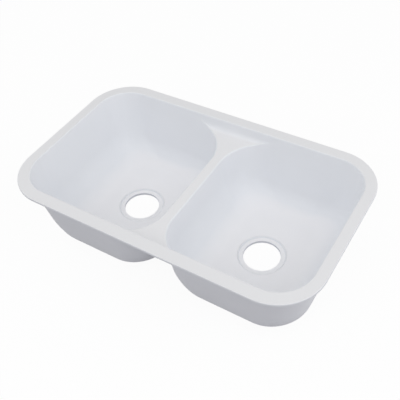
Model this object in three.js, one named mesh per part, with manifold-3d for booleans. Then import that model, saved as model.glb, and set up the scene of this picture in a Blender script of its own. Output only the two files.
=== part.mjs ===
// Double bowl undermount kitchen sink in cast, through-coloured resin.
//
// A flat rim deck carries two deep bowls. The divider between them is a low saddle that
// dips in the middle, flares into both bowls' corners and rises in fillets up the front
// and back walls. Each bowl is bonded under the deck, and a stepped drain seat is let
// into its floor. Brass threaded inserts under the rim take the clips.
//
// Millimetres. +Z is up, X runs along the rim and the front of the sink is at -Y.
// The origin is on the floor plane under the middle of the rim.

import * as THREE from "three";
import { mergeVertices } from "three/addons/utils/BufferGeometryUtils.js";
import Module from "manifold-3d";

// ---- driving dimensions -------------------------------------------------------------

// the whole sink
const LENGTH = 787; // rim, end to end
const WIDTH = 470; // rim, front to back
const HEIGHT = 205; // rim's top to the undersides of the bowls

// rim
const RIM_FLAT_FRONT = 28; // width of the flat top, from the edge to the mouth
const RIM_FLAT_BACK = 24.5;
const RIM_FLAT_END = 23.5;
const RIM_THICKNESS = 6.4;
const RIM_CORNER = 110; // plan radius of the outer corners
const RIM_TOP_ROUND = 1.6; // rounded upper edge
const RIM_BOTTOM_CHAMFER = 0.6;
const MOUTH_ROUND = 3; // from the flat top into the bowls
const UNDER_FILLET = 4; // from the rim's underside into the outer wall

// walls, as slopes from the vertical
const WALL = 7;
const SLOPE_END = 0.12;
const SLOPE_FRONT = 0.17;
const SLOPE_BACK = 0.08;
const SLOPE_DIVIDER = 0.03;

// saddle between the bowls
const SADDLE_DROP = 41; // its lowest point below the rim's top
const SADDLE_RISE = 9; // from there to its front and back ends
const SADDLE_RISE_POWER = 4; // the higher, the flatter its middle
const SADDLE_FILLET = 14; // up the front and back walls
const SADDLE_THICKNESS = 7;
const DIVIDER_WIDTH = 27.5; // between the two bowls' inner walls, at the saddle
const DIVIDER_ROUND = 4.5; // rounded edges of the saddle

// plan radii inside a bowl, at the rim and at the floor
const END_CORNER_AT_FLOOR = 68;
const DIVIDER_CORNER = 100;
const DIVIDER_CORNER_AT_FLOOR = 80;

// sweep from the walls into the floor, inside and outside
const SWEEP_END = 78;
const SWEEP_DIVIDER = 88;
const SWEEP_FRONT = 38;
const SWEEP_BACK = 45;
const OUTER_SWEEP_END = 74;
const OUTER_SWEEP_DIVIDER = 72;
const OUTER_SWEEP_FRONT = 31;
const OUTER_SWEEP_BACK = 37;

// floor and drain
const FLOOR_THICKNESS = 10; // at the drain seat
const FLOOR_FALL = 1.5; // from the foot of the sweep to the seat
const DRAIN_X = 180.5; // from the middle of the sink
const DRAIN_Y = 7.5; // behind the middle of the rim
const DRAIN_RADIUS = 46; // hole for a 3 1/2 inch basket strainer
const SEAT_WIDTH = 14; // from the hole to the outside of the seat
const SEAT_LAND = 1.5; // flush border of the seat
const SEAT_BEVEL = 2; // sloped step down to the seat's face
const SEAT_DROP = 3; // face of the seat below the floor
const SEAT_LIP = 1.2; // rounded edge of the drain hole
const SEAT_FLANGE = 4; // thickness of the seat where it rests on its ledge
const SEAT_LEDGE = 6; // width of that ledge

// threaded inserts and their bosses under the rim
const BOSSES_ALONG = 4; // on the front and on the back
const BOSSES_ACROSS = 2; // on each end
const BOSS_PITCH_ALONG = 180;
const BOSS_PITCH_ACROSS = 150;
const BOSS_INSET = 12; // from the rim's edge
const BOSS_RADIUS = 7.6;
const BOSS_TAPER = 0.5; // wider at the root
const BOSS_HEIGHT = 6; // below the rim's underside
const INSERT_RADIUS = 4;
const INSERT_LENGTH = 9;
const INSERT_BORE = 2.5; // M6 thread, drawn at its core
const INSERT_GROOVE = 0.5; // depth of the ring groove between the two grips
const INSERT_GROOVE_WIDTH = 2;
const INSERT_CHAMFER = 0.5;
const CLEARANCE = 0.3; // round a piece that is let into another

// facets
const ARC_STEPS = 8; // in a quarter turn of a plan corner
const X_STEPS = 3; // along a bowl's front or back
const Y_STEPS = 5; // along a bowl's ends
const ROUND_STEPS = 3; // in a small rounded edge
const SWEEP_STEPS = 9; // from the wall into the floor
const FLOOR_STEPS = 2;
const SEAT_STEPS = 44; // round a drain seat
const SMALL_STEPS = 16; // round a boss or an insert

// ---- derived sizes ------------------------------------------------------------------

const QUARTER = Math.PI / 2;
const END_CORNER = RIM_CORNER - RIM_FLAT_END - MOUTH_ROUND; // inner wall's, at the rim
const SADDLE_UNDERSIDE = SADDLE_DROP + SADDLE_THICKNESS; // where the bowls are bonded on
const FLOOR_DEPTH = HEIGHT - FLOOR_THICKNESS; // below the rim's top, at the drain seat
const SWEEP_FOOT = FLOOR_DEPTH - FLOOR_FALL;
const LEDGE_DEPTH = FLOOR_DEPTH + SEAT_FLANGE;
const SEAT_RADIUS = DRAIN_RADIUS + SEAT_WIDTH;
const SEAT_NECK = SEAT_RADIUS - SEAT_LEDGE; // below the ledge

const mix = (a, b, t) => a + (b - a) * t;
const ease = (t) => {
  const s = Math.min(Math.max(t, 0), 1);
  return s * s * (3 - 2 * s);
};

// ---- plan outlines ------------------------------------------------------------------

// How far a quarter-round sweep of radius r, ending at depth foot, has drawn a wall in.
function drawnIn(depth, foot, r) {
  const into = Math.min(Math.max((depth - foot + r) / r, 0), 1);
  return r * (1 - Math.sqrt(1 - into * into));
}

const innerSweep = {
  end: SWEEP_END,
  divider: SWEEP_DIVIDER,
  front: SWEEP_FRONT,
  back: SWEEP_BACK,
};

const outerSweep = {
  end: OUTER_SWEEP_END,
  divider: OUTER_SWEEP_DIVIDER,
  front: OUTER_SWEEP_FRONT,
  back: OUTER_SWEEP_BACK,
};

// The right-hand bowl's plan at a depth below the rim: its inner walls, or faces outside
// them by offset, with the sweep that ends at depth foot.
function bowlPlan(depth, offset = 0, foot = SWEEP_FOOT, sweep = innerSweep) {
  const share = depth / SWEEP_FOOT;
  const plan = {
    inner: DIVIDER_WIDTH / 2 + SLOPE_DIVIDER * (depth - SADDLE_DROP) - offset,
    outer: LENGTH / 2 - RIM_FLAT_END - MOUTH_ROUND - SLOPE_END * depth + offset,
    front: -WIDTH / 2 + RIM_FLAT_FRONT + MOUTH_ROUND + SLOPE_FRONT * depth - offset,
    back: WIDTH / 2 - RIM_FLAT_BACK - MOUTH_ROUND - SLOPE_BACK * depth + offset,
    innerCorner: mix(DIVIDER_CORNER, DIVIDER_CORNER_AT_FLOOR, share) + offset,
    outerCorner: mix(END_CORNER, END_CORNER_AT_FLOOR, share) + offset,
  };
  plan.inner += drawnIn(depth, foot, sweep.divider);
  plan.outer -= drawnIn(depth, foot, sweep.end);
  plan.front += drawnIn(depth, foot, sweep.front);
  plan.back -= drawnIn(depth, foot, sweep.back);
  return plan;
}

// Directions that walls face, in quarter turns; a bowl's loop ends where it began.
const facing = { front: 3, end: 4, back: 5, divider: 6, frontAgain: 7 };

// A station is a place on a bowl's loop: right is 0 at the divider and 1 at the end, back
// is 0 at the front and 1 at the back, and turn is the direction that the wall faces.
function stations(steps, right, back, turn) {
  return Array.from({ length: steps }, (_, i) => ({
    right: mix(...right, i / steps),
    back: mix(...back, i / steps),
    turn: mix(...turn, i / steps),
  }));
}

// Front, end and back of the right bowl, anticlockwise from the saddle's front tip.
const outerRun = [
  ...stations(X_STEPS, [0, 1], [0, 0], [facing.front, facing.front]),
  ...stations(ARC_STEPS, [1, 1], [0, 0], [facing.front, facing.end]),
  ...stations(Y_STEPS, [1, 1], [0, 1], [facing.end, facing.end]),
  ...stations(ARC_STEPS, [1, 1], [1, 1], [facing.end, facing.back]),
  ...stations(X_STEPS, [1, 0], [1, 1], [facing.back, facing.back]),
];

// The divider's side, from the saddle's back tip to its front tip.
const dividerRun = [
  ...stations(ARC_STEPS, [0, 0], [1, 1], [facing.back, facing.divider]),
  ...stations(Y_STEPS, [0, 0], [1, 0], [facing.divider, facing.divider]),
  ...stations(ARC_STEPS, [0, 0], [0, 0], [facing.divider, facing.frontAgain]),
];

const backTip = dividerRun[0];

// The point of a plan at a station, or one that lies out beyond it.
function planPoint(plan, { right, back, turn }, out = 0) {
  const radius = mix(plan.innerCorner, plan.outerCorner, right);
  const x = mix(plan.inner + plan.innerCorner, plan.outer - plan.outerCorner, right);
  const y = mix(plan.front + radius, plan.back - radius, back);
  const angle = turn * QUARTER;
  return [x + (radius + out) * Math.cos(angle), y + (radius + out) * Math.sin(angle)];
}

const level = (points, depth) => points.map(([x, y]) => [x, y, HEIGHT - depth]);
const mirrored = (loop) => loop.map(([x, ...rest]) => [-x, ...rest]).reverse();

// A closed level loop round the right bowl.
function bowlLoop(depth, plan = bowlPlan(depth)) {
  return level([...outerRun, ...dividerRun].map((s) => planPoint(plan, s)), depth);
}

// ---- saddle -------------------------------------------------------------------------

// Depth of the saddle's top at a distance from the nearer of the front and back walls.
function saddleDepth(distance) {
  const { front, back } = bowlPlan(SADDLE_DROP);
  const fromMiddle = 1 - distance / ((back - front) / 2);
  const up = Math.max(1 - Math.sqrt(distance / SADDLE_FILLET), 0);
  const rise = SADDLE_RISE * fromMiddle ** SADDLE_RISE_POWER;
  return SADDLE_DROP - rise - SADDLE_FILLET * up ** 2;
}

// The saddle's tips, where its fillets run out along the front and back walls.
const tipDepth = saddleDepth(0);
const tipX = planPoint(bowlPlan(tipDepth), backTip)[0];

// How much of the saddle's rounded edge a station has: none at the tips and beyond them,
// all of it from halfway round the corners.
function edgeShare({ right, turn }) {
  if (right > 0) return 0;
  return ease(2 * Math.min(turn - facing.back, facing.frontAgain - turn));
}

// Depth at which a bowl's opening starts at a station: the saddle's top beside the
// divider, and the level of the tips elsewhere.
function openingDepth(station) {
  const share = edgeShare(station);
  if (share === 0) return tipDepth;
  const plan = bowlPlan(SADDLE_DROP);
  const y = planPoint(plan, station, DIVIDER_ROUND * share)[1];
  return saddleDepth(Math.max(Math.min(plan.back - y, y - plan.front), 0));
}

// A closed loop round the whole sink, sharing its points with the bowls' loops.
function rimLoop(depth, plan = bowlPlan(depth)) {
  const whole = { ...plan, inner: tipX, innerCorner: 0 };
  const right = [...outerRun, backTip].map((s) => planPoint(whole, s));
  return level([...right, ...mirrored(right)], depth);
}

// ---- drain --------------------------------------------------------------------------

// A circle round the right drain, with one point for each point of the bowl's loop; the
// point that faces the end wall's middle lies at angle zero.
function drainLoop(radius, depth) {
  const count = outerRun.length + dividerRun.length;
  const middleOfEnd = X_STEPS + ARC_STEPS + Y_STEPS / 2;
  const points = Array.from({ length: count }, (_, i) => {
    const angle = ((i - middleOfEnd) / count) * 4 * QUARTER;
    return [DRAIN_X + radius * Math.cos(angle), DRAIN_Y + radius * Math.sin(angle)];
  });
  return level(points, depth);
}

// ---- surfaces -----------------------------------------------------------------------

// Collects triangles between loops of [x, y, z] points.
class Skin {
  constructor() {
    this.positions = [];
  }

  triangle(a, b, c) {
    for (const [x, y, z] of [a, b, c]) this.positions.push(x, y, z);
  }

  quad(a, b, c, d) {
    this.triangle(a, b, c);
    this.triangle(a, c, d);
  }

  // Joins closed loops; they run anticlockwise, and the faces look out when going down.
  bands(loops) {
    for (let k = 0; k + 1 < loops.length; k++) {
      const [above, below] = [loops[k], loops[k + 1]];
      above.forEach((a, i) => {
        const j = (i + 1) % above.length;
        this.quad(a, below[i], below[j], above[j]);
      });
    }
  }

  // A level face inside a closed contour, with holes, that looks down.
  underside(contour, holes) {
    const points = [contour, ...holes].flat();
    const toVectors = (loop) => loop.map(([x, y]) => new THREE.Vector2(x, y));
    const faces = THREE.ShapeUtils.triangulateShape(
      toVectors(contour),
      holes.map(toVectors),
    );
    for (const [a, b, c] of faces.map((face) => face.map((i) => points[i]))) {
      const turn = (b[0] - a[0]) * (c[1] - a[1]) - (b[1] - a[1]) * (c[0] - a[0]);
      if (turn > 0) this.triangle(a, c, b);
      else this.triangle(a, b, c);
    }
  }

  geometry() {
    const g = new THREE.BufferGeometry();
    g.setAttribute("position", new THREE.Float32BufferAttribute(this.positions, 3));
    return mergeVertices(g, 1e-4);
  }
}

// Steps through a quarter turn, as [sine, cosine] pairs, both ends included.
function quarterTurn(steps) {
  return Array.from({ length: steps + 1 }, (_, i) => {
    const angle = (i / steps) * QUARTER;
    return [Math.sin(angle), Math.cos(angle)];
  });
}

// ---- booleans -----------------------------------------------------------------------

const wasm = await Module();
wasm.setup();

function toSolid(geometry) {
  const bare = geometry.clone();
  bare.deleteAttribute("normal");
  bare.deleteAttribute("uv");
  const welded = mergeVertices(bare, 1e-4);
  return new wasm.Manifold(
    new wasm.Mesh({
      numProp: 3,
      vertProperties: new Float32Array(welded.attributes.position.array),
      triVerts: new Uint32Array(welded.index.array),
    }),
  );
}

function toGeometry(solid) {
  const mesh = solid.getMesh();
  const g = new THREE.BufferGeometry();
  g.setAttribute("position", new THREE.BufferAttribute(mesh.vertProperties, 3));
  g.setIndex(new THREE.BufferAttribute(mesh.triVerts, 1));
  return g;
}

// A solid of revolution about a vertical axis; the profile runs from the bottom up on
// the outside and closes on itself or on the axis.
function turned(profile, steps, x = 0, y = 0) {
  const points = profile.map(([r, z]) => new THREE.Vector2(r, z));
  const lathe = new THREE.LatheGeometry(points, steps);
  return lathe.rotateX(QUARTER).translate(x, y, 0);
}

// ---- rim deck -----------------------------------------------------------------------

// The rim's own plan, drawn in from its outer edge.
function rimPlan(inset) {
  return {
    outer: LENGTH / 2 - inset,
    front: -WIDTH / 2 + inset,
    back: WIDTH / 2 - inset,
    outerCorner: RIM_CORNER - inset,
  };
}

// The mouth's wall, rounded back from its own plane.
function mouthPlan(depth, roundedBack) {
  const plan = bowlPlan(depth);
  plan.outer += roundedBack;
  plan.front -= roundedBack;
  plan.back += roundedBack;
  plan.outerCorner += roundedBack;
  return plan;
}

// Cross-section of the rim from the tips' level up the mouth, over the flat top, round
// the edge and back under to the bonding face.
function rimLoops() {
  const loops = [rimLoop(tipDepth)];
  for (const [s, c] of quarterTurn(ROUND_STEPS)) {
    const depth = MOUTH_ROUND * (1 - s);
    loops.push(rimLoop(depth, mouthPlan(depth, MOUTH_ROUND * (1 - c))));
  }
  for (const [s, c] of quarterTurn(ROUND_STEPS)) {
    const inset = RIM_TOP_ROUND * (1 - s);
    loops.push(rimLoop(RIM_TOP_ROUND * (1 - c), rimPlan(inset)));
  }
  loops.push(rimLoop(RIM_THICKNESS - RIM_BOTTOM_CHAMFER, rimPlan(0)));
  loops.push(rimLoop(RIM_THICKNESS, rimPlan(RIM_BOTTOM_CHAMFER)));
  for (const [s, c] of quarterTurn(ROUND_STEPS)) {
    const depth = RIM_THICKNESS + UNDER_FILLET * (1 - c);
    loops.push(rimLoop(depth, bowlPlan(depth, WALL + UNDER_FILLET * (1 - s))));
  }
  loops.push(rimLoop(SADDLE_UNDERSIDE, bowlPlan(SADDLE_UNDERSIDE, WALL)));
  return loops;
}

// Walls of one bowl's opening through the deck, upwards: from the bonding face to the
// saddle's rounded edge and to the tips' level.
function openingLoops() {
  const run = [...outerRun, ...dividerRun];
  const loops = quarterTurn(ROUND_STEPS).map(([s, c]) =>
    run.map((station) => {
      const depth = openingDepth(station) + DIVIDER_ROUND * (1 - c);
      const out = DIVIDER_ROUND * (1 - s) * edgeShare(station);
      return [...planPoint(bowlPlan(depth), station, out), HEIGHT - depth];
    }),
  );
  return [bowlLoop(SADDLE_UNDERSIDE), ...loops.reverse()];
}

function deckSolid() {
  const skin = new Skin();
  skin.bands(rimLoops());
  const opening = openingLoops();
  skin.bands(opening);
  skin.bands(opening.map(mirrored));

  // the saddle's top, from edge to edge in level lines across it
  const edge = opening[opening.length - 1];
  const side = [...edge.slice(outerRun.length), edge[0]];
  const across = ([x, y, z]) => [-x, y, z];
  for (let i = 0; i + 1 < side.length; i++) {
    skin.quad(side[i], across(side[i]), across(side[i + 1]), side[i + 1]);
  }

  const wall = rimLoop(SADDLE_UNDERSIDE, bowlPlan(SADDLE_UNDERSIDE, WALL));
  skin.underside(wall, [opening[0], mirrored(opening[0])]);
  return toSolid(skin.geometry());
}

// Centres of the bosses: an even row on each side of the rim.
function bossCentres() {
  const centres = [];
  const row = (count, pitch) =>
    Array.from({ length: count }, (_, i) => (i - (count - 1) / 2) * pitch);
  for (const side of [-1, 1]) {
    const y = side * (WIDTH / 2 - BOSS_INSET);
    for (const x of row(BOSSES_ALONG, BOSS_PITCH_ALONG)) centres.push([x, y]);
  }
  for (const side of [-1, 1]) {
    const x = side * (LENGTH / 2 - BOSS_INSET);
    for (const y of row(BOSSES_ACROSS, BOSS_PITCH_ACROSS)) centres.push([x, y]);
  }
  return centres;
}

const BOSS_FOOT = HEIGHT - RIM_THICKNESS - BOSS_HEIGHT;
const BOSS_ROOT = HEIGHT - RIM_THICKNESS / 2; // buried in the rim

function bossSolid([x, y]) {
  const profile = [
    [0, BOSS_FOOT],
    [BOSS_RADIUS, BOSS_FOOT],
    [BOSS_RADIUS + BOSS_TAPER, BOSS_FOOT + BOSS_HEIGHT],
    [BOSS_RADIUS + BOSS_TAPER, BOSS_ROOT],
    [0, BOSS_ROOT],
  ];
  return toSolid(turned(profile, SMALL_STEPS, x, y));
}

function insertPocket([x, y]) {
  const radius = INSERT_RADIUS + CLEARANCE;
  const top = BOSS_FOOT + INSERT_LENGTH + CLEARANCE;
  const mouth = BOSS_FOOT - CLEARANCE;
  const profile = [
    [0, mouth],
    [radius, mouth],
    [radius, top],
    [0, top],
  ];
  return toSolid(turned(profile, SMALL_STEPS, x, y));
}

function rimDeck() {
  let deck = deckSolid();
  for (const centre of bossCentres()) deck = deck.add(bossSolid(centre));
  for (const centre of bossCentres()) deck = deck.subtract(insertPocket(centre));
  return toGeometry(deck);
}

// ---- bowls --------------------------------------------------------------------------

// Depths of the loops through a sweep, closest together at its foot.
function sweepDepths(foot, radius) {
  return quarterTurn(SWEEP_STEPS).map(([s]) => foot - radius * (1 - s));
}

// The bowl's whole skin as one run of loops: down the inside, through the stepped
// drain opening, and back up the outside to the bonding face.
function bowlLoops() {
  const inside = [SADDLE_UNDERSIDE, ...sweepDepths(SWEEP_FOOT, SWEEP_DIVIDER)];
  const loops = inside.map((depth) => bowlLoop(depth));

  const foot = loops[loops.length - 1];
  const rebate = drainLoop(SEAT_RADIUS + CLEARANCE, FLOOR_DEPTH);
  for (let i = 1; i <= FLOOR_STEPS; i++) {
    const t = i / FLOOR_STEPS;
    loops.push(foot.map((point, k) => point.map((value, axis) => mix(value, rebate[k][axis], t))));
  }

  loops.push(drainLoop(SEAT_RADIUS + CLEARANCE, LEDGE_DEPTH));
  loops.push(drainLoop(SEAT_NECK + CLEARANCE, LEDGE_DEPTH));
  loops.push(drainLoop(SEAT_NECK + CLEARANCE, HEIGHT));

  const outside = sweepDepths(HEIGHT, OUTER_SWEEP_DIVIDER).reverse();
  for (const depth of [...outside, SADDLE_UNDERSIDE]) {
    loops.push(bowlLoop(depth, bowlPlan(depth, WALL, HEIGHT, outerSweep)));
  }
  loops.push(loops[0]);
  return loops;
}

function bowl(side) {
  const skin = new Skin();
  const loops = bowlLoops().reverse();
  skin.bands(side > 0 ? loops : loops.map(mirrored));
  return skin.geometry();
}

// ---- drain seats --------------------------------------------------------------------

// A stepped ring: flush border, bevel, flat face for the strainer and a rounded hole.
function drainSeat(side) {
  const top = HEIGHT - FLOOR_DEPTH;
  const face = top - SEAT_DROP;
  const ledge = HEIGHT - LEDGE_DEPTH;
  const profile = [[DRAIN_RADIUS, 0], [SEAT_NECK, 0], [SEAT_NECK, ledge]];
  profile.push([SEAT_RADIUS, ledge]);
  profile.push([SEAT_RADIUS, top], [SEAT_RADIUS - SEAT_LAND, top]);
  profile.push([SEAT_RADIUS - SEAT_LAND - SEAT_BEVEL, face]);
  for (const [s, c] of quarterTurn(ROUND_STEPS)) {
    profile.push([DRAIN_RADIUS + SEAT_LIP * (1 - s), face - SEAT_LIP * (1 - c)]);
  }
  profile.push([DRAIN_RADIUS, 0]);
  return turned(profile, SEAT_STEPS, side * DRAIN_X, DRAIN_Y);
}

// ---- inserts ------------------------------------------------------------------------

function insert([x, y]) {
  const bottom = BOSS_FOOT;
  const top = BOSS_FOOT + INSERT_LENGTH;
  const middle = (bottom + top) / 2;
  const half = INSERT_GROOVE_WIDTH / 2;
  const profile = [
    [INSERT_BORE, bottom],
    [INSERT_RADIUS - INSERT_CHAMFER, bottom],
    [INSERT_RADIUS, bottom + INSERT_CHAMFER],
    [INSERT_RADIUS, middle - half],
    [INSERT_RADIUS - INSERT_GROOVE, middle - half],
    [INSERT_RADIUS - INSERT_GROOVE, middle + half],
    [INSERT_RADIUS, middle + half],
    [INSERT_RADIUS, top],
    [INSERT_BORE, top],
    [INSERT_BORE, bottom],
  ];
  return turned(profile, SMALL_STEPS, x, y);
}

// ---- the sink -----------------------------------------------------------------------

const resin = new THREE.MeshStandardMaterial({ color: 0xe6e8ee, roughness: 0.42 });
const seatResin = new THREE.MeshStandardMaterial({ color: 0xe3e5ea, roughness: 0.38 });
const brass = new THREE.MeshStandardMaterial({
  color: 0xb5964a,
  roughness: 0.35,
  metalness: 1,
});

const sink = new THREE.Group();

function place(name, geometry, material) {
  const mesh = new THREE.Mesh(geometry, material);
  mesh.name = name;
  sink.add(mesh);
}

place("rim_deck", rimDeck(), resin);
for (const [name, side] of [["left", -1], ["right", 1]]) {
  place(`${name}_bowl`, bowl(side), resin);
  place(`${name}_drain_seat`, drainSeat(side), seatResin);
}
bossCentres().forEach((centre, i) => {
  place(`clip_insert_${String(i + 1).padStart(2, "0")}`, insert(centre), brass);
});

export default sink;
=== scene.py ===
import bmesh
import bpy
import numpy as np
from mathutils import Matrix, Vector


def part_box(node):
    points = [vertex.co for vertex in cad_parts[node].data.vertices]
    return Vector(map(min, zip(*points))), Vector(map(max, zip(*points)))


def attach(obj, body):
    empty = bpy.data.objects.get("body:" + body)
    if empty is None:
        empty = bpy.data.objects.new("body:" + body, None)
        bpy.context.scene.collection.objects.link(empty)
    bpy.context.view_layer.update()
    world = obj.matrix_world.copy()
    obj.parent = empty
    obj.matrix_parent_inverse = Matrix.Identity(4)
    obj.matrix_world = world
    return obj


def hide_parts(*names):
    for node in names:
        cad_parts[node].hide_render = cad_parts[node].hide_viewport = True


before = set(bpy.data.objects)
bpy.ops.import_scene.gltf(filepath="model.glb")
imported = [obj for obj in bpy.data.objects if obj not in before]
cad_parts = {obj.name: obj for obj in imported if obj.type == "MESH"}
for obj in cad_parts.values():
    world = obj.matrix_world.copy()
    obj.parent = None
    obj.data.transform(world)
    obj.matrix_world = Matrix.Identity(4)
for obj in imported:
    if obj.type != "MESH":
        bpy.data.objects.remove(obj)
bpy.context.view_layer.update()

scene = bpy.context.scene
scene.view_settings.view_transform = "Standard"

# ---- camera --------------------------------------------------------------------------
# The sink is seen from above, over its front right corner, with a slight roll, from the
# distance of a person who stands beside it.
CAMERA_AZIMUTH = np.radians(36.295)
CAMERA_ELEVATION = np.radians(46.124)
CAMERA_ROLL = np.radians(6.317)
CAMERA_DISTANCE = 1.3535
CAMERA_AIM = Vector((0.0603, -0.0568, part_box("rim_deck")[1].z))
CAMERA_LENS = 54.76


def aimed_camera():
    """A camera on a ray from the aim, turned about that ray by the roll."""
    back = Vector((
        np.sin(CAMERA_AZIMUTH) * np.cos(CAMERA_ELEVATION),
        -np.cos(CAMERA_AZIMUTH) * np.cos(CAMERA_ELEVATION),
        np.sin(CAMERA_ELEVATION),
    ))
    level = Vector((0, 0, 1)).cross(back).normalized()
    raised = back.cross(level)
    right = level * np.cos(CAMERA_ROLL) - raised * np.sin(CAMERA_ROLL)
    up = level * np.sin(CAMERA_ROLL) + raised * np.cos(CAMERA_ROLL)
    camera = bpy.data.objects.new("camera", bpy.data.cameras.new("camera"))
    camera.data.lens = CAMERA_LENS
    turn = Matrix((right, up, back)).transposed()
    camera.matrix_world = Matrix.Translation(CAMERA_AIM + back * CAMERA_DISTANCE) @ turn.to_4x4()
    scene.collection.objects.link(camera)
    scene.camera = camera


aimed_camera()

# ---- cast resin ----------------------------------------------------------------------
# The whole sink is one mineral-filled resin, white right through. Its inside and rim are
# sanded to a satin, with faint clouds, flecks of filler, fine grain and hairlines. Level
# faces have light and shade painted into their colour: painted shade makes the rim's top
# and the saddle greyer, and painted light makes the floors whiter. The outside is as it
# left the mould: duller, with a soft orange peel.
RESIN_WHITE = (0.868, 0.883, 0.915, 1)
RESIN_CLOUD = (0.848, 0.865, 0.899, 1)
RESIN_FLECK = (0.760, 0.768, 0.790, 1)
# painted shade for the rim's top and the saddle, and painted light for the bowls' floors
RIM_PAINTED_SHADE = (0.808, 0.811, 0.828, 1)
FLOOR_PAINTED_LIGHT = (0.945, 0.943, 0.960, 1)
RESIN_IOR = 1.5
RESIN_GLOSS = 0.4
CLOUDS_PER_METRE = 14
FLECKS_PER_METRE = 420
FLECK_PATCHES_PER_METRE = 160
SANDED_GRAIN = 900
MOULDED_GRAIN = 260
# faces tilted past these upward shares take the painted light and shade
LEVEL_FROM, LEVEL_FULL = 0.75, 0.98  # upward share of a face's direction


def new_group(name, inputs, outputs):
    """An empty shader node group with named sockets: inputs (name, value), outputs (name)."""
    group = bpy.data.node_groups.new(name, "ShaderNodeTree")
    for label, value in inputs:
        socket = group.interface.new_socket(label, in_out="INPUT", socket_type="NodeSocketFloat")
        socket.default_value = value
    for label in outputs:
        group.interface.new_socket(label, in_out="OUTPUT", socket_type="NodeSocketFloat")
    return group, group.nodes.new("NodeGroupInput"), group.nodes.new("NodeGroupOutput")


def satin_grain_group():
    """Clouds, flecks, and the height and roughness of a worked resin face, in object space.

    The clouds are a wide noise. The flecks are the small centres of scattered cells, kept
    where a second noise is high. The hairlines are a noise stretched a hundredfold along
    one direction and cut off low. Height is grain less hairlines, and roughness is its
    plain value plus shares of clouds and hairlines.
    """
    group, given, result = new_group(
        "satin_grain",
        [("Grain Scale", SANDED_GRAIN), ("Hairlines", 1.0), ("Roughness", 0.4)],
        ["Cloud", "Fleck", "Roughness", "Height"],
    )
    nodes, links = group.nodes, group.links
    place = nodes.new("ShaderNodeTexCoord")

    def noise(scale, detail, vector):
        texture = nodes.new("ShaderNodeTexNoise")
        texture.inputs["Scale"].default_value = scale
        texture.inputs["Detail"].default_value = detail
        links.new(vector, texture.inputs["Vector"])
        return texture

    def between(value, low, high):
        span = nodes.new("ShaderNodeMapRange")
        span.inputs["From Min"].default_value = low
        span.inputs["From Max"].default_value = high
        links.new(value, span.inputs["Value"])
        return span.outputs["Result"]

    def multiply_add(value, factor, term):
        node = nodes.new("ShaderNodeMath")
        node.operation = "MULTIPLY_ADD"
        for socket, source in zip(node.inputs, (value, factor, term)):
            if isinstance(source, float):
                socket.default_value = source
            else:
                links.new(source, socket)
        return node.outputs["Value"]

    here = place.outputs["Object"]
    cloud = noise(CLOUDS_PER_METRE, 3, here).outputs["Fac"]
    grain = noise(1, 4, here)
    links.new(given.outputs["Grain Scale"], grain.inputs["Scale"])

    cells = nodes.new("ShaderNodeTexVoronoi")
    cells.inputs["Scale"].default_value = FLECKS_PER_METRE
    links.new(here, cells.inputs["Vector"])
    centre = between(cells.outputs["Distance"], 0.16, 0.10)
    scattered = between(noise(FLECK_PATCHES_PER_METRE, 1, here).outputs["Fac"], 0.55, 0.62)
    fleck = multiply_add(centre, scattered, 0.0)

    stretched = nodes.new("ShaderNodeMapping")
    stretched.inputs["Rotation"].default_value = (0.3, 0.2, 0.6)
    stretched.inputs["Scale"].default_value = (6, 600, 600)
    links.new(here, stretched.inputs["Vector"])
    hair = between(noise(1, 2, stretched.outputs["Vector"]).outputs["Fac"], 0.62, 0.78)
    hairlines = multiply_add(hair, given.outputs["Hairlines"], 0.0)

    clouded = multiply_add(cloud, 0.12, given.outputs["Roughness"])
    links.new(cloud, result.inputs["Cloud"])
    links.new(fleck, result.inputs["Fleck"])
    links.new(multiply_add(hairlines, 0.1, clouded), result.inputs["Roughness"])
    links.new(multiply_add(hairlines, -0.6, grain.outputs["Fac"]), result.inputs["Height"])
    return group


satin_grain = satin_grain_group()


def resin_material(name, roughness, grain_scale, hairlines, bump_distance):
    """White resin: clouded and flecked colour, and its grain as roughness and a low bump."""
    material = bpy.data.materials.new(name)
    material.use_nodes = True
    nodes, links = material.node_tree.nodes, material.node_tree.links
    shader = nodes["Principled BSDF"]
    shader.inputs["IOR"].default_value = RESIN_IOR
    shader.inputs["Specular IOR Level"].default_value = RESIN_GLOSS

    grain = nodes.new("ShaderNodeGroup")
    grain.node_tree = satin_grain
    grain.inputs["Grain Scale"].default_value = grain_scale
    grain.inputs["Hairlines"].default_value = hairlines
    grain.inputs["Roughness"].default_value = roughness

    clouded = nodes.new("ShaderNodeMix")
    clouded.data_type = "RGBA"
    clouded.inputs["A"].default_value = RESIN_WHITE
    clouded.inputs["B"].default_value = RESIN_CLOUD
    links.new(grain.outputs["Cloud"], clouded.inputs["Factor"])
    flecked = nodes.new("ShaderNodeMix")
    flecked.data_type = "RGBA"
    flecked.inputs["B"].default_value = RESIN_FLECK
    links.new(grain.outputs["Fleck"], flecked.inputs["Factor"])
    links.new(clouded.outputs["Result"], flecked.inputs["A"])
    links.new(flecked.outputs["Result"], shader.inputs["Base Color"])
    links.new(grain.outputs["Roughness"], shader.inputs["Roughness"])

    bump = nodes.new("ShaderNodeBump")
    bump.inputs["Strength"].default_value = 0.12
    bump.inputs["Distance"].default_value = bump_distance
    links.new(grain.outputs["Height"], bump.inputs["Height"])
    links.new(bump.outputs["Normal"], shader.inputs["Normal"])
    return material


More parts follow.
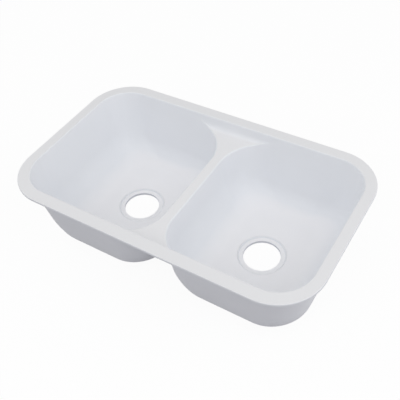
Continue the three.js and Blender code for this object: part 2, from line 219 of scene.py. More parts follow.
def painted_light_on_level_faces(material, rim_top):
    """Paints light and shade into the colour of level faces: painted light at the floors' height 0,
    turning to painted shade at the rim's top.
    """
    nodes, links = material.node_tree.nodes, material.node_tree.links
    place = nodes.new("ShaderNodeTexCoord")

    def upward(output, low, high):
        parts = nodes.new("ShaderNodeSeparateXYZ")
        span = nodes.new("ShaderNodeMapRange")
        span.inputs["From Min"].default_value = low
        span.inputs["From Max"].default_value = high
        links.new(place.outputs[output], parts.inputs["Vector"])
        links.new(parts.outputs["Z"], span.inputs["Value"])
        return span.outputs["Result"]

    def mixed(factor, first, second):
        node = nodes.new("ShaderNodeMix")
        node.data_type = "RGBA"
        links.new(factor, node.inputs["Factor"])
        for socket, source in ((node.inputs["A"], first), (node.inputs["B"], second)):
            if isinstance(source, tuple):
                socket.default_value = source
            else:
                links.new(source, socket)
        return node.outputs["Result"]

    # painted light at the floors' height, turning to painted shade at the rim's top
    level = mixed(upward("Object", 0.0, rim_top), FLOOR_PAINTED_LIGHT, RIM_PAINTED_SHADE)
    colour = nodes["Principled BSDF"].inputs["Base Color"]
    levelness = upward("Normal", LEVEL_FROM, LEVEL_FULL)
    links.new(mixed(levelness, colour.links[0].from_socket, level), colour)


sanded_resin_painted_light = resin_material("sanded_resin_painted_light", 0.38, SANDED_GRAIN, 1.0, 0.0002)
# painted light on the floors and painted shade on the rim's top and saddle
painted_light_on_level_faces(sanded_resin_painted_light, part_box("rim_deck")[1].z)
moulded_resin = resin_material("moulded_resin", 0.5, MOULDED_GRAIN, 0.15, 0.0009)

# ---- rim deck ------------------------------------------------------------------------
# The top of the casting: a flat rim with rounded corners, the mouth that turns down from
# it, and the low saddle between the bowls. The saddle dips in its middle, flares into the
# bowls' corners and climbs the front and back walls in fillets. Round bosses underneath
# hold the inserts.
deck_low, deck_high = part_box("rim_deck")
RIM_TOP = deck_high.z
HALF_LENGTH = deck_high.x
HALF_WIDTH = deck_high.y
BOND_DEPTH = RIM_TOP - deck_low.z
RIM_FLAT_FRONT = 0.028
RIM_FLAT_BACK = 0.0245
RIM_FLAT_END = 0.0235
RIM_THICKNESS = 0.0064
RIM_CORNER = 0.110
RIM_TOP_ROUND = 0.0016
RIM_FOOT_ROUND = 0.0006
MOUTH_ROUND = 0.003
UNDER_FILLET = 0.004
WALL = 0.007
SLOPE_END = 0.12
SLOPE_FRONT = 0.17
SLOPE_BACK = 0.08
SLOPE_DIVIDER = 0.03
SADDLE_DROP = 0.041
SADDLE_RISE = 0.009
SADDLE_RISE_POWER = 4
SADDLE_FILLET = 0.014
DIVIDER_WIDTH = 0.0275
DIVIDER_ROUND = 0.0045
END_CORNER = RIM_CORNER - RIM_FLAT_END - MOUTH_ROUND
END_CORNER_AT_FLOOR = 0.068
DIVIDER_CORNER = 0.100
DIVIDER_CORNER_AT_FLOOR = 0.080
FLOOR_THICKNESS = 0.010
FLOOR_FALL = 0.0015
FLOOR_FALL_POWER = 1.5
SWEEP_FOOT = RIM_TOP - FLOOR_THICKNESS - FLOOR_FALL
QUARTER = np.pi / 2
WELD = 2e-6  # vertices closer than this are one
FACING_FRONT, FACING_END, FACING_BACK = 3 * QUARTER, 4 * QUARTER, 5 * QUARTER
FACING_DIVIDER, FACING_FRONT_AGAIN = 6 * QUARTER, 7 * QUARTER


def mix(a, b, t):
    return a + (b - a) * t


def ease(t):
    """0 to 1 with level ends."""
    s = np.clip(t, 0, 1)
    return s * s * (3 - 2 * s)


def walls(depth, offset=0.0):
    """The right bowl's plan at depths below the rim: four planes and two corner radii.

    Each plane leans by its own slope. offset moves them all outwards.
    """
    share = depth / SWEEP_FOOT
    return {
        "inner": DIVIDER_WIDTH / 2 + SLOPE_DIVIDER * (depth - SADDLE_DROP) - offset,
        "outer": HALF_LENGTH - RIM_FLAT_END - MOUTH_ROUND - SLOPE_END * depth + offset,
        "front": -HALF_WIDTH + RIM_FLAT_FRONT + MOUTH_ROUND + SLOPE_FRONT * depth - offset,
        "back": HALF_WIDTH - RIM_FLAT_BACK - MOUTH_ROUND - SLOPE_BACK * depth + offset,
        "divider corner": mix(DIVIDER_CORNER, DIVIDER_CORNER_AT_FLOOR, share) + offset,
        "end corner": mix(END_CORNER, END_CORNER_AT_FLOOR, share) + offset,
    }


def stretch(count, right, back, facing):
    """Columns along one stretch of a bowl's loop, without its last.

    right and back go from 0 at the divider and the front to 1 at the end and the back,
    and facing is the direction that the wall looks out to.
    """
    t = np.arange(count) / count
    return np.array([mix(*right, t), mix(*back, t), mix(*facing, t)])


STRAIGHT_COLUMNS = 24
END_COLUMNS = 32
FLARE_COLUMNS = 60
outer_run = np.hstack([
    stretch(STRAIGHT_COLUMNS, (0, 1), (0, 0), (FACING_FRONT, FACING_FRONT)),
    stretch(END_COLUMNS, (1, 1), (0, 0), (FACING_FRONT, FACING_END)),
    stretch(STRAIGHT_COLUMNS, (1, 1), (0, 1), (FACING_END, FACING_END)),
    stretch(END_COLUMNS, (1, 1), (1, 1), (FACING_END, FACING_BACK)),
    stretch(STRAIGHT_COLUMNS, (1, 0), (1, 1), (FACING_BACK, FACING_BACK)),
])
divider_run = np.hstack([
    stretch(FLARE_COLUMNS, (0, 0), (1, 1), (FACING_BACK, FACING_DIVIDER)),
    stretch(STRAIGHT_COLUMNS, (0, 0), (1, 0), (FACING_DIVIDER, FACING_DIVIDER)),
    stretch(FLARE_COLUMNS, (0, 0), (0, 0), (FACING_DIVIDER, FACING_FRONT_AGAIN)),
])
bowl_columns = np.hstack([outer_run, divider_run])
BACK_TIP = outer_run.shape[1]  # column at which the divider's side starts


def loop(plan, columns):
    """x and y round a bowl: a rectangle's point plus a corner radius along the facing."""
    right, back, facing = columns
    radius = mix(plan["divider corner"], plan["end corner"], right)
    divider_x = plan["inner"] + plan["divider corner"]
    x = mix(divider_x, plan["outer"] - plan["end corner"], right)
    y = mix(plan["front"] + radius, plan["back"] - radius, back)
    return x + radius * np.cos(facing), y + radius * np.sin(facing)


def points(x, y, depth):
    """One array of positions from x, y and the depth below the rim."""
    return np.stack(np.broadcast_arrays(x, y, RIM_TOP - depth), axis=-1)


def quarter(steps):
    """Sine and cosine of a quarter turn in steps, as two columns of rows."""
    angle = np.linspace(0, QUARTER, steps + 1)[:, None]
    return np.sin(angle), np.cos(angle)


saddle_plan = walls(SADDLE_DROP)


def saddle_depth(distance):
    """Depth of the saddle's top at a distance from the nearer of the two end walls.

    Away from its middle it rises with a power of the share of the way. Close to
    the wall it climbs on the curve whose roots of distance and of height add up to the
    root of the fillet's size.
    """
    half = (saddle_plan["back"] - saddle_plan["front"]) / 2
    rise = SADDLE_RISE * (1 - distance / half) ** SADDLE_RISE_POWER
    climb = SADDLE_FILLET * np.clip(1 - np.sqrt(distance / SADDLE_FILLET), 0, None) ** 2
    return SADDLE_DROP - rise - climb


TIP_DEPTH = saddle_depth(0.0)
tip_plan = walls(TIP_DEPTH)
TIP_X = tip_plan["inner"] + tip_plan["divider corner"]


def edge_share(columns):
    """How much of the saddle's rounded edge each column has: it fades out at the tips."""
    right, _, facing = columns
    from_tip = np.minimum(facing - FACING_BACK, FACING_FRONT_AGAIN - facing)
    return np.where(right > 0, 0.0, ease(2 * from_tip / QUARTER))


def edge_depth(columns):
    """Depth of the opening's edge: the saddle's top beside it, and the tips' elsewhere."""
    _, _, facing = columns
    share = edge_share(columns)
    _, y = loop(saddle_plan, columns)
    y = y + DIVIDER_ROUND * share * np.sin(facing)
    distance = np.clip(np.minimum(saddle_plan["back"] - y, y - saddle_plan["front"]), 0, None)
    return np.where(share > 0, saddle_depth(distance), TIP_DEPTH)


def opening():
    """The right bowl's opening, upwards: leaning wall, then a quarter round out over the saddle."""
    sine, cosine = quarter(10)
    sine, cosine = sine[::-1], cosine[::-1]
    edge = edge_depth(bowl_columns)
    round_depth = edge + DIVIDER_ROUND * (1 - cosine)
    wall_depth = mix(BOND_DEPTH, round_depth[:1], np.linspace(0, 1, 7)[:-1, None])
    depth = np.vstack([wall_depth, round_depth])
    out = np.zeros_like(depth)
    out[-len(sine):] = DIVIDER_ROUND * (1 - sine) * edge_share(bowl_columns)
    x, y = loop(walls(depth), bowl_columns)
    facing = bowl_columns[2]
    return points(x + out * np.cos(facing), y + out * np.sin(facing), depth)


ACROSS = np.linspace(0, 1, 13)  # from the saddle's edge to the middle of the sink


def to_middle(line):
    """Level lines from a run of points to the plane x = 0, one row for each share of the way."""
    grid = np.repeat(line[None], len(ACROSS), axis=0)
    grid[..., 0] *= 1 - ACROSS[:, None]
    return grid


def rim_shell(opening_grid):
    """The half deck outside the opening, from the tips' level up the mouth, over the flat
    top, round the edge, back under to the bond line and in to the opening's foot. Also the
    row where the sanded top ends, at the rim's edge.
    """
    columns = np.hstack([outer_run, divider_run[:, :1]])

    def row(plan, depth):
        straight = {**plan, "inner": TIP_X, "divider corner": 0.0}
        return points(*loop(straight, columns), depth)

    def rim_plan(inset):
        return {
            "outer": HALF_LENGTH - inset,
            "front": -HALF_WIDTH + inset,
            "back": HALF_WIDTH - inset,
            "end corner": RIM_CORNER - inset,
        }

    depth = np.linspace(TIP_DEPTH, MOUTH_ROUND, 8)[:-1, None]
    upper_wall = row(walls(depth), depth)

    sine, cosine = quarter(10)
    depth = MOUTH_ROUND * (1 - sine)
    turned_back = MOUTH_ROUND * (1 - cosine)
    plan = walls(depth)
    plan["outer"] = plan["outer"] + turned_back
    plan["front"] = plan["front"] - turned_back
    plan["back"] = plan["back"] + turned_back
    plan["end corner"] = plan["end corner"] + turned_back
    mouth_round = row(plan, depth)

    sine, cosine = quarter(7)
    top_round = row(rim_plan(RIM_TOP_ROUND * (1 - sine)), RIM_TOP_ROUND * (1 - cosine))
    share = np.array([0.012, 0.25, 0.5, 0.75, 0.988])[:, None, None]
    flat = mix(mouth_round[-1], top_round[0], share)

    sine, cosine = quarter(4)
    foot_depth = RIM_THICKNESS - RIM_FOOT_ROUND * (1 - sine)
    foot_round = row(rim_plan(RIM_FOOT_ROUND * (1 - cosine)), foot_depth)

    sine, cosine = quarter(8)
    depth = RIM_THICKNESS + UNDER_FILLET * (1 - cosine)
    fillet = row(walls(depth, WALL + UNDER_FILLET * (1 - sine)), depth)
    share = np.array([0.03, 0.97])[:, None, None]
    underside = mix(foot_round[-1], fillet[0], share)

    depth = np.linspace(RIM_THICKNESS + UNDER_FILLET, BOND_DEPTH, 6)[1:, None]
    outside = row(walls(depth, WALL), depth)
    rows = np.concatenate([
        upper_wall, mouth_round, flat, top_round, foot_round, underside, fillet, outside,
        opening_grid[:1, : BACK_TIP + 1],
    ])
    front = to_middle(rows[:, 0])[:0:-1].transpose(1, 0, 2)
    back = to_middle(rows[:, -1])[1:].transpose(1, 0, 2)
    edge = len(upper_wall) + len(mouth_round) + len(flat) + len(top_round) - 1
    return np.concatenate([front, rows, back], axis=1), edge


def grid_faces(rows, columns, rows_close=False, columns_close=False):
    """Four corners of each cell of a grid whose vertices run row by row."""
    i = np.arange(rows if rows_close else rows - 1)[:, None]
    j = np.arange(columns if columns_close else columns - 1)[None, :]
    below, beside = (i + 1) % rows, (j + 1) % columns
    corners = [i * columns + j, i * columns + beside, below * columns + beside, below * columns + j]
    return np.stack([c.ravel() for c in corners], axis=-1)


def mirrored(grid):
    """The left half's grid from the right half's."""
    return grid * np.array([-1.0, 1.0, 1.0])


def solid(name, sheets):
    """One closed mesh from grids, welded where they meet.

    A sheet is (grid, rows_close, columns_close, moulded_from): from that row on, its faces
    take the second material.
    """
    vertices, faces, second, first = [], [], [], 0
    for grid, rows_close, columns_close, moulded_from in sheets:
        rows, columns = grid.shape[:2]
        vertices.append(grid.reshape(-1, 3))
        cells = grid_faces(rows, columns, rows_close, columns_close)
        faces.append(cells + first)
        second.append(cells[:, 0] // columns >= moulded_from)
        first += rows * columns
    mesh = bpy.data.meshes.new(name)
    mesh.from_pydata(np.concatenate(vertices), [], np.concatenate(faces).tolist())
    mesh.polygons.foreach_set("material_index", np.concatenate(second).astype(np.int32))
    work = bmesh.new()
    work.from_mesh(mesh)
    bmesh.ops.remove_doubles(work, verts=work.verts, dist=WELD)
    bmesh.ops.dissolve_degenerate(work, edges=work.edges, dist=1e-7)
    bmesh.ops.recalc_face_normals(work, faces=work.faces)
    work.to_mesh(mesh)
    work.free()
    piece = bpy.data.objects.new(name, mesh)
    scene.collection.objects.link(piece)
    return piece


def smooth(piece, sharp_from=35):
    """Smooth shading, split where two faces meet at more than sharp_from degrees."""
    piece.data.shade_smooth()
    piece.data.set_sharp_from_angle(angle=np.radians(sharp_from))


right_opening = opening()
side = np.r_[BACK_TIP : bowl_columns.shape[1], 0]
saddle_top = to_middle(right_opening[-1, side])
saddle_foot = to_middle(right_opening[0, side])
shell, shell_moulded_from = rim_shell(right_opening)
half_deck = [
    (right_opening, False, True, len(right_opening)),
    (saddle_top, False, False, len(saddle_top)),
    (saddle_foot, False, False, 0),
    (shell, False, False, shell_moulded_from),
]
deck = solid("sink_deck", half_deck + [(mirrored(grid), *ends) for grid, *ends in half_deck])

insert_nodes = [f"clip_insert_{number:02d}" for number in range(1, 13)]
insert_boxes = [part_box(node) for node in insert_nodes]
insert_centres = [((low.x + high.x) / 2, (low.y + high.y) / 2) for low, high in insert_boxes]
BOSS_FOOT = insert_boxes[0][0].z
BOSS_RADIUS = 0.0076
BOSS_TAPER = 0.0005
BOSS_EDGE_ROUND = 0.0004
BOSS_ROOT_FILLET = 0.0012
BOSS_COLUMNS = 48
POCKET_RADIUS = 0.0043
POCKET_DEPTH = 0.0093
BOSS_OVERLAP = 0.00002  # of the root past the rim's underside
POCKET_OVERCUT = 0.001  # below the boss's foot


def turned(profile, x, y, columns):
    """A profile of (radius, height) carried round a vertical axis at x, y."""
    angle = np.arange(columns) / columns * 4 * QUARTER
    radius, height = profile[:, :1], profile[:, 1:]
    around = [x + radius * np.cos(angle), y + radius * np.sin(angle), height + 0 * angle]
    return np.stack(around, axis=-1)


def boss_profile():
    """From the axis out over the foot, round its edge, up the taper and out round the root.

    The root's fillet runs just past the rim's underside, so that the join cuts it cleanly.
    """
    root = RIM_TOP - RIM_THICKNESS + BOSS_OVERLAP
    wide = BOSS_RADIUS + BOSS_TAPER
    sine, cosine = quarter(5)
    edge = np.hstack([
        BOSS_RADIUS - BOSS_EDGE_ROUND * (1 - sine),
        BOSS_FOOT + BOSS_EDGE_ROUND * (1 - cosine),
    ])
    sine, cosine = quarter(7)
    flare = np.hstack([
        wide + BOSS_ROOT_FILLET * (1 - cosine),
        root - BOSS_ROOT_FILLET * (1 - sine),
    ])
    buried = root + RIM_THICKNESS / 3
    closing = [[wide + BOSS_ROOT_FILLET, buried], [0.0, buried]]
    return np.vstack([[[0.0, BOSS_FOOT]], edge, flare, closing])


pocket_profile = np.array([
    [0.0, BOSS_FOOT - POCKET_OVERCUT],
    [POCKET_RADIUS, BOSS_FOOT - POCKET_OVERCUT],
    [POCKET_RADIUS, BOSS_FOOT + POCKET_DEPTH],
    [0.0, BOSS_FOOT + POCKET_DEPTH],
])


def joined(piece, operation, profile):
    """The piece with a turned shape at each boss added to it or cut from it."""
    shapes = [turned(profile, x, y, BOSS_COLUMNS) for x, y in insert_centres]
    tool = solid("boss_tool", [(grid, False, True, 0) for grid in shapes])
    for material in piece.data.materials:
        tool.data.materials.append(material)
    boolean = piece.modifiers.new(operation.lower(), "BOOLEAN")
    boolean.operation = operation
    boolean.solver = "EXACT"
    boolean.object = tool
    finished = piece.evaluated_get(bpy.context.evaluated_depsgraph_get())
    mesh = bpy.data.meshes.new_from_object(finished)
    piece.modifiers.clear()
    plain, piece.data = piece.data, mesh
    bpy.data.meshes.remove(plain)
    bpy.data.meshes.remove(tool.data)


def welded(piece):
    """Merges close vertices once more, which takes out the slivers left by the cuts."""
    mesh = bmesh.new()
    mesh.from_mesh(piece.data)
    bmesh.ops.remove_doubles(mesh, verts=mesh.verts, dist=WELD)
    bmesh.ops.recalc_face_normals(mesh, faces=mesh.faces)
    mesh.to_mesh(piece.data)
    mesh.free()


deck.data.materials.append(sanded_resin_painted_light)
deck.data.materials.append(moulded_resin)
joined(deck, "UNION", boss_profile())
joined(deck, "DIFFERENCE", pocket_profile)
welded(deck)
deck.data.name = "sink_deck"
smooth(deck)
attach(deck, "root")
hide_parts("rim_deck")

# ---- bowls ---------------------------------------------------------------------------
# Each bowl is cast to the same plan and bonded under the deck: leaning walls, a wide
# sweep into a floor that falls to the drain, and a stepped hole for the drain seat.
SWEEPS = {"inner": 0.088, "outer": 0.078, "front": 0.038, "back": 0.045}
OUTSIDE_SWEEPS = {"inner": 0.072, "outer": 0.074, "front": 0.031, "back": 0.037}
seat_low, seat_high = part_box("right_drain_seat")
DRAIN_X = (seat_low.x + seat_high.x) / 2
DRAIN_Y = (seat_low.y + seat_high.y) / 2
SEAT_RADIUS = (seat_high.x - seat_low.x) / 2
SEAT_FLANGE = 0.004
SEAT_LEDGE = 0.006
SEAT_CLEARANCE = 0.0003


def swept_walls(depth, offset, foot, sweeps):
    """The leaning walls, drawn in near the foot by a quarter round of each side's own radius."""
    plan = walls(depth, offset)
    for side, radius in sweeps.items():
        into = np.clip((depth - foot + radius) / radius, 0, 1)
        drawn = radius * (1 - np.sqrt(1 - into**2))
        plan[side] = plan[side] + (drawn if side in ("inner", "front") else -drawn)
    return plan


def bowl_grid():
    """The right bowl: down the inside, over the floor, through the drain and back up outside."""
    low = max(SWEEPS.values())
    sine, _ = quarter(48)
    wall = np.linspace(BOND_DEPTH, SWEEP_FOOT - low, 9)[:-1, None]
    depth = np.vstack([wall, SWEEP_FOOT - low * (1 - sine)])
    x, y = loop(swept_walls(depth, 0.0, SWEEP_FOOT, SWEEPS), bowl_columns)
    inside = points(x, y, depth)

    foot_x, foot_y = x[-1], y[-1]
    bearing = np.arctan2(foot_y - DRAIN_Y, foot_x - DRAIN_X)

    def circle(radius):
        return DRAIN_X + radius * np.cos(bearing), DRAIN_Y + radius * np.sin(bearing)

    rebate_x, rebate_y = circle(SEAT_RADIUS + SEAT_CLEARANCE)
    t = np.linspace(0, 1, 17)[1:, None]
    fall = SWEEP_FOOT + FLOOR_FALL * t**FLOOR_FALL_POWER
    floor = points(mix(foot_x, rebate_x, t), mix(foot_y, rebate_y, t), fall)

    floor_depth = SWEEP_FOOT + FLOOR_FALL
    ledge_depth = floor_depth + SEAT_FLANGE
    neck_x, neck_y = circle(SEAT_RADIUS - SEAT_LEDGE + SEAT_CLEARANCE)
    drain = np.stack([
        points(rebate_x, rebate_y, ledge_depth),
        points(neck_x, neck_y, ledge_depth),
        points(neck_x, neck_y, RIM_TOP),
    ])

    low = max(OUTSIDE_SWEEPS.values())
    sine, _ = quarter(32)
    depth = np.vstack([
        np.linspace(BOND_DEPTH, RIM_TOP - low, 7)[:-1, None],
        RIM_TOP - low * (1 - sine),
    ])[::-1]
    x, y = loop(swept_walls(depth, WALL, RIM_TOP, OUTSIDE_SWEEPS), bowl_columns)
    sanded = len(inside) + len(floor) + len(drain)
    return np.concatenate([inside, floor, drain, points(x, y, depth)]), sanded - 1


right_bowl_grid, bowl_moulded_from = bowl_grid()
for side, grid in (("left", mirrored(right_bowl_grid)), ("right", right_bowl_grid)):
    bowl = solid(f"{side}_bowl_cast", [(grid, True, True, bowl_moulded_from)])
    bowl.data.materials.append(sanded_resin_painted_light)
    bowl.data.materials.append(moulded_resin)
    smooth(bowl)
    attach(bowl, "root")
    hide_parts(f"{side}_bowl")

# ---- drain seats ---------------------------------------------------------------------
# A ring of the same resin, turned with a step for the strainer's flange and let into the
# floor of each bowl. Its edges are broken by fine rounds.
DRAIN_RADIUS = 0.046
SEAT_LAND = 0.0015
SEAT_BEVEL = 0.002
SEAT_DROP = 0.003
SEAT_LIP = 0.0012
SEAT_BREAK = 0.0004
SEAT_COLUMNS = 192
LATHE_RINGS_PER_METRE = 2600


def rounded(corners, radius, steps=4):
    """A closed profile with each corner replaced by an arc between its two tangent points.

    The arc is a quadratic curve with the corner as its middle handle.
    """
    profile = []
    t = np.linspace(0, 1, steps + 1)[:, None]
    for before, corner, after in zip(np.roll(corners, 1, 0), corners, np.roll(corners, -1, 0)):
        reach = min(radius, 0.4 * min(np.linalg.norm(before - corner), np.linalg.norm(after - corner)))
        start = corner + (before - corner) / np.linalg.norm(before - corner) * reach
        stop = corner + (after - corner) / np.linalg.norm(after - corner) * reach
        profile.append((1 - t) ** 2 * start + 2 * t * (1 - t) * corner + t**2 * stop)
    return np.concatenate(profile)


def seat_profile():
    """Flush border, bevel, flat face, rounded hole, underside, neck and ledge."""
    top = seat_high.z
    face = top - SEAT_DROP
    ledge = top - SEAT_FLANGE
    neck = SEAT_RADIUS - SEAT_LEDGE
    land = SEAT_RADIUS - SEAT_LAND
    sine, cosine = quarter(8)
    lip = np.hstack([DRAIN_RADIUS + SEAT_LIP * (1 - sine), face - SEAT_LIP * (1 - cosine)])
    outline = np.array([
        [DRAIN_RADIUS, 0.0], [neck, 0.0], [neck, ledge], [SEAT_RADIUS, ledge],
        [SEAT_RADIUS, top], [land, top], [land - SEAT_BEVEL, face],
    ])
    broken = rounded(outline, SEAT_BREAK)
    return np.vstack([broken, lip])


def turned_resin_material():
    """The white resin with lathe rings: a fine noise of the distance from the drain's axis.

    The distance takes x without its sign, so that both drains share one material.
    """
    material = resin_material("turned_resin_painted_light", 0.33, SANDED_GRAIN, 0.3, 0.0002)
    # the ring's level faces get the same painted light (floor) and painted shade (rim height)
    painted_light_on_level_faces(material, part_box("rim_deck")[1].z)
    nodes, links = material.node_tree.nodes, material.node_tree.links
    place = nodes.new("ShaderNodeTexCoord")
    parts = nodes.new("ShaderNodeSeparateXYZ")
    links.new(place.outputs["Object"], parts.inputs["Vector"])
    unsigned = nodes.new("ShaderNodeMath")
    unsigned.operation = "ABSOLUTE"
    links.new(parts.outputs["X"], unsigned.inputs[0])
    from_axis = nodes.new("ShaderNodeCombineXYZ")
    links.new(unsigned.outputs["Value"], from_axis.inputs["X"])
    links.new(parts.outputs["Y"], from_axis.inputs["Y"])
    distance = nodes.new("ShaderNodeVectorMath")
    distance.operation = "DISTANCE"
    distance.inputs[1].default_value = (DRAIN_X, DRAIN_Y, 0)
    links.new(from_axis.outputs["Vector"], distance.inputs[0])
    rings = nodes.new("ShaderNodeTexNoise")
    rings.noise_dimensions = "1D"
    rings.inputs["Scale"].default_value = LATHE_RINGS_PER_METRE
    rings.inputs["Detail"].default_value = 2
    links.new(distance.outputs["Value"], rings.inputs["W"])
    bump = nodes.new("ShaderNodeBump")
    bump.inputs["Strength"].default_value = 0.15
    bump.inputs["Distance"].default_value = 0.00012
    links.new(rings.outputs["Fac"], bump.inputs["Height"])
    links.new(nodes["Bump"].outputs["Normal"], bump.inputs["Normal"])
    links.new(bump.outputs["Normal"], nodes["Principled BSDF"].inputs["Normal"])
    return material


turned_resin_painted_light = turned_resin_material()
for side, sign in (("left", -1), ("right", 1)):
    ring_grid = turned(seat_profile(), sign * DRAIN_X, DRAIN_Y, SEAT_COLUMNS)
    seat = solid(f"{side}_seat_ring", [(ring_grid, True, True, len(ring_grid))])
    seat.data.materials.append(turned_resin_painted_light)
    smooth(seat, 50)
    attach(seat, "root")
    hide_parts(f"{side}_drain_seat")

# ---- clip inserts --------------------------------------------------------------------
# Twelve brass inserts are moulded into the bosses. Each is turned from bar, knurled in
# crossed spirals on its two grips so that it can't work loose, and tapped M6 for the
# screw of a mounting clip.
INSERT_LOW = insert_boxes[0][0].z
INSERT_HIGH = insert_boxes[0][1].z
INSERT_RADIUS = (insert_boxes[0][1].x - insert_boxes[0][0].x) / 2
INSERT_CHAMFER = 0.0005
INSERT_GROOVE = 0.0005
INSERT_GROOVE_WIDTH = 0.002
THREAD_CORE = 0.0025
THREAD_DEPTH = 0.0005
THREAD_PITCH = 0.001
THREAD_MOUTH = 0.0031
KNURLS = 16
KNURL_DEPTH = 0.0002
KNURL_PITCH = 0.0012
INSERT_COLUMNS = 96
BRASS = (0.60, 0.44, 0.17, 1)
BRASS_DULL = (0.36, 0.25, 0.11, 1)
BRASS_PATCHES_PER_METRE = 700
BRASS_BRIGHT_ROUGHNESS, BRASS_DULL_ROUGHNESS = 0.22, 0.5


def insert_grid(x, y):
    """Up the tapped hole and down the knurled outside.

    The hole's radius is the larger of two: the core plus a triangle wave of height less
    turn, and a cone at each mouth. The outside is a stepped profile less a V groove along
    each of two crossed spirals, which fades out at the grips' ends.
    """
    turn = np.arange(INSERT_COLUMNS) / INSERT_COLUMNS
    up = np.linspace(INSERT_LOW, INSERT_HIGH, 56)[:, None]
    wave = np.abs(2 * np.mod((up - INSERT_LOW) / THREAD_PITCH - turn, 1) - 1)
    from_mouth = np.minimum(up - INSERT_LOW, INSERT_HIGH - up)
    hole = np.maximum(THREAD_CORE + THREAD_DEPTH * wave, THREAD_MOUTH - from_mouth)

    middle = (INSERT_LOW + INSERT_HIGH) / 2
    half = INSERT_GROOVE_WIDTH / 2
    grip = np.linspace(0, 1, 20)
    upper = mix(INSERT_HIGH - INSERT_CHAMFER, middle + half, grip)
    lower = mix(middle - half, INSERT_LOW + INSERT_CHAMFER, grip)
    neck = [middle + half, middle - half]
    down = np.concatenate([[INSERT_HIGH], upper, neck, lower, [INSERT_LOW]])[:, None]
    chamfered = [INSERT_RADIUS - INSERT_CHAMFER]
    plain = [INSERT_RADIUS] * len(grip)
    waist = [INSERT_RADIUS - INSERT_GROOVE] * 2
    radius = np.array(chamfered + plain + waist + plain + chamfered)[:, None]
    fade = np.sin(np.pi * grip) ** 0.25
    knurled = np.concatenate([[0], fade, [0, 0], fade, [0]])[:, None]

    def groove(lead):
        return np.clip(1 - 4 * np.abs(np.mod(KNURLS * turn + lead, 1) - 0.5), 0, 1)

    cut = np.maximum(groove(down / KNURL_PITCH), groove(-down / KNURL_PITCH))
    outside = radius - KNURL_DEPTH * knurled * cut

    radius = np.vstack([hole, outside])
    height = np.vstack([up, down])
    angle = turn * 4 * QUARTER
    around = [x + radius * np.cos(angle), y + radius * np.sin(angle), height + 0 * angle]
    return np.stack(around, axis=-1)


def brass_material():
    """Bare brass: bright turned metal, dulled and roughened in patches of a fine noise."""
    material = bpy.data.materials.new("turned_brass")
    material.use_nodes = True
    nodes, links = material.node_tree.nodes, material.node_tree.links
    shader = nodes["Principled BSDF"]
    shader.inputs["Metallic"].default_value = 1
    place = nodes.new("ShaderNodeTexCoord")
    patches = nodes.new("ShaderNodeTexNoise")
    patches.inputs["Scale"].default_value = BRASS_PATCHES_PER_METRE
    patches.inputs["Detail"].default_value = 5
    links.new(place.outputs["Object"], patches.inputs["Vector"])
    tint = nodes.new("ShaderNodeMix")
    tint.data_type = "RGBA"
    tint.inputs["A"].default_value = BRASS
    tint.inputs["B"].default_value = BRASS_DULL
    links.new(patches.outputs["Fac"], tint.inputs["Factor"])
    links.new(tint.outputs["Result"], shader.inputs["Base Color"])
    rough = nodes.new("ShaderNodeMapRange")
    rough.inputs["To Min"].default_value = BRASS_BRIGHT_ROUGHNESS
    rough.inputs["To Max"].default_value = BRASS_DULL_ROUGHNESS
    links.new(patches.outputs["Fac"], rough.inputs["Value"])
    links.new(rough.outputs["Result"], shader.inputs["Roughness"])
    bump = nodes.new("ShaderNodeBump")
    bump.inputs["Strength"].default_value = 0.2
    bump.inputs["Distance"].default_value = 0.00005
    links.new(patches.outputs["Fac"], bump.inputs["Height"])
    links.new(bump.outputs["Normal"], shader.inputs["Normal"])
    return material


turned_brass = brass_material()
for node, (x, y) in zip(insert_nodes, insert_centres):
    grid = insert_grid(x, y)
    insert = solid(node.replace("clip", "brass"), [(grid, True, True, len(grid))])
    insert.data.materials.append(turned_brass)
    smooth(insert, 40)
    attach(insert, "root")
    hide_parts(node)

# ---- floor and light -----------------------------------------------------------------
# A plain white floor that fills the view, an even room, and four broad soft lamps: in
# front, high and low on the right, and a weak one on the left.
FLOOR_HALF = 6.0
FLOOR_GLOW = 0.94
FLOOR_SEEN = (0.97, 0.97, 0.97, 1)
FLOOR_BOUNCE = (0.31, 0.30, 0.34, 1)
ROOM_LIGHT = 0.60
ROOM_SEEN = 1.0
LAMP_AIM = (0, 0, 0.1)
LAMP_SIZE = 1.3


def seen_directly(nodes, links):
    """1 for rays from the eye, and for those that gloss or glass sends on, otherwise 0."""
    path = nodes.new("ShaderNodeLightPath")
    total = path.outputs["Is Camera Ray"]
    for ray in ("Is Glossy Ray", "Is Transmission Ray"):
        node = nodes.new("ShaderNodeMath")
        node.operation = "MAXIMUM"
        links.new(total, node.inputs[0])
        links.new(path.outputs[ray], node.inputs[1])
        total = node.outputs["Value"]
    return total


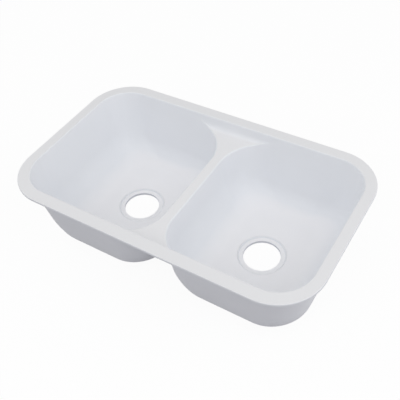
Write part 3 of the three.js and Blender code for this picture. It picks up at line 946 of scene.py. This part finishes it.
def white_floor():
    """A level square. It is seen nearly as white as paper, with a faint shadow."""
    corners = [(-1, -1), (1, -1), (1, 1), (-1, 1)]
    mesh = bpy.data.meshes.new("floor")
    mesh.from_pydata([(FLOOR_HALF * x, FLOOR_HALF * y, 0.0) for x, y in corners], [], [(0, 1, 2, 3)])
    floor = bpy.data.objects.new("floor", mesh)
    scene.collection.objects.link(floor)
    material = bpy.data.materials.new("floor_white")
    material.use_nodes = True
    nodes, links = material.node_tree.nodes, material.node_tree.links
    nodes.remove(nodes["Principled BSDF"])
    seen = seen_directly(nodes, links)
    tone = nodes.new("ShaderNodeMix")
    tone.data_type = "RGBA"
    tone.inputs["A"].default_value = FLOOR_BOUNCE
    tone.inputs["B"].default_value = FLOOR_SEEN
    links.new(seen, tone.inputs["Factor"])
    paper = nodes.new("ShaderNodeBsdfDiffuse")
    links.new(tone.outputs["Result"], paper.inputs["Color"])
    glow = nodes.new("ShaderNodeEmission")
    share = nodes.new("ShaderNodeMath")
    share.operation = "MULTIPLY"
    share.inputs[1].default_value = FLOOR_GLOW
    blend = nodes.new("ShaderNodeMixShader")
    links.new(seen, share.inputs[0])
    links.new(share.outputs["Value"], blend.inputs["Fac"])
    links.new(paper.outputs["BSDF"], blend.inputs[1])
    links.new(glow.outputs["Emission"], blend.inputs[2])
    links.new(blend.outputs["Shader"], nodes["Material Output"].inputs["Surface"])
    floor.data.materials.append(material)


def soft_lamp(name, place, power):
    """A square area lamp at place that faces the sink."""
    lamp = bpy.data.objects.new(name, bpy.data.lights.new(name, "AREA"))
    lamp.data.size = LAMP_SIZE
    lamp.data.energy = power
    place = Vector(place)
    lamp.location = place
    lamp.rotation_euler = (place - Vector(LAMP_AIM)).to_track_quat("Z", "Y").to_euler()
    scene.collection.objects.link(lamp)


def even_room():
    """The same light from everywhere, and white where it is seen."""
    world = bpy.data.worlds.new("room")
    scene.world = world
    world.use_nodes = True
    nodes, links = world.node_tree.nodes, world.node_tree.links
    strength = nodes.new("ShaderNodeMapRange")
    strength.inputs["To Min"].default_value = ROOM_LIGHT
    strength.inputs["To Max"].default_value = ROOM_SEEN
    links.new(seen_directly(nodes, links), strength.inputs["Value"])
    links.new(strength.outputs["Result"], nodes["Background"].inputs["Strength"])
    nodes["Background"].inputs["Color"].default_value = (1, 1, 1, 1)


white_floor()
even_room()
soft_lamp("front", (0, -1.6, 1.7), 7.6)
soft_lamp("right", (1.6, 0, 1.7), 7.4)
soft_lamp("low_right", (2.1, 0.3, 0.8), 4.8)
soft_lamp("left", (-1.6, 0, 1.7), 4.0)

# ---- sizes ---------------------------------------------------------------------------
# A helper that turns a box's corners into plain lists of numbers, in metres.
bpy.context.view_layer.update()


def plain(bounds):
    return [[float(value) for value in corner] for corner in bounds]
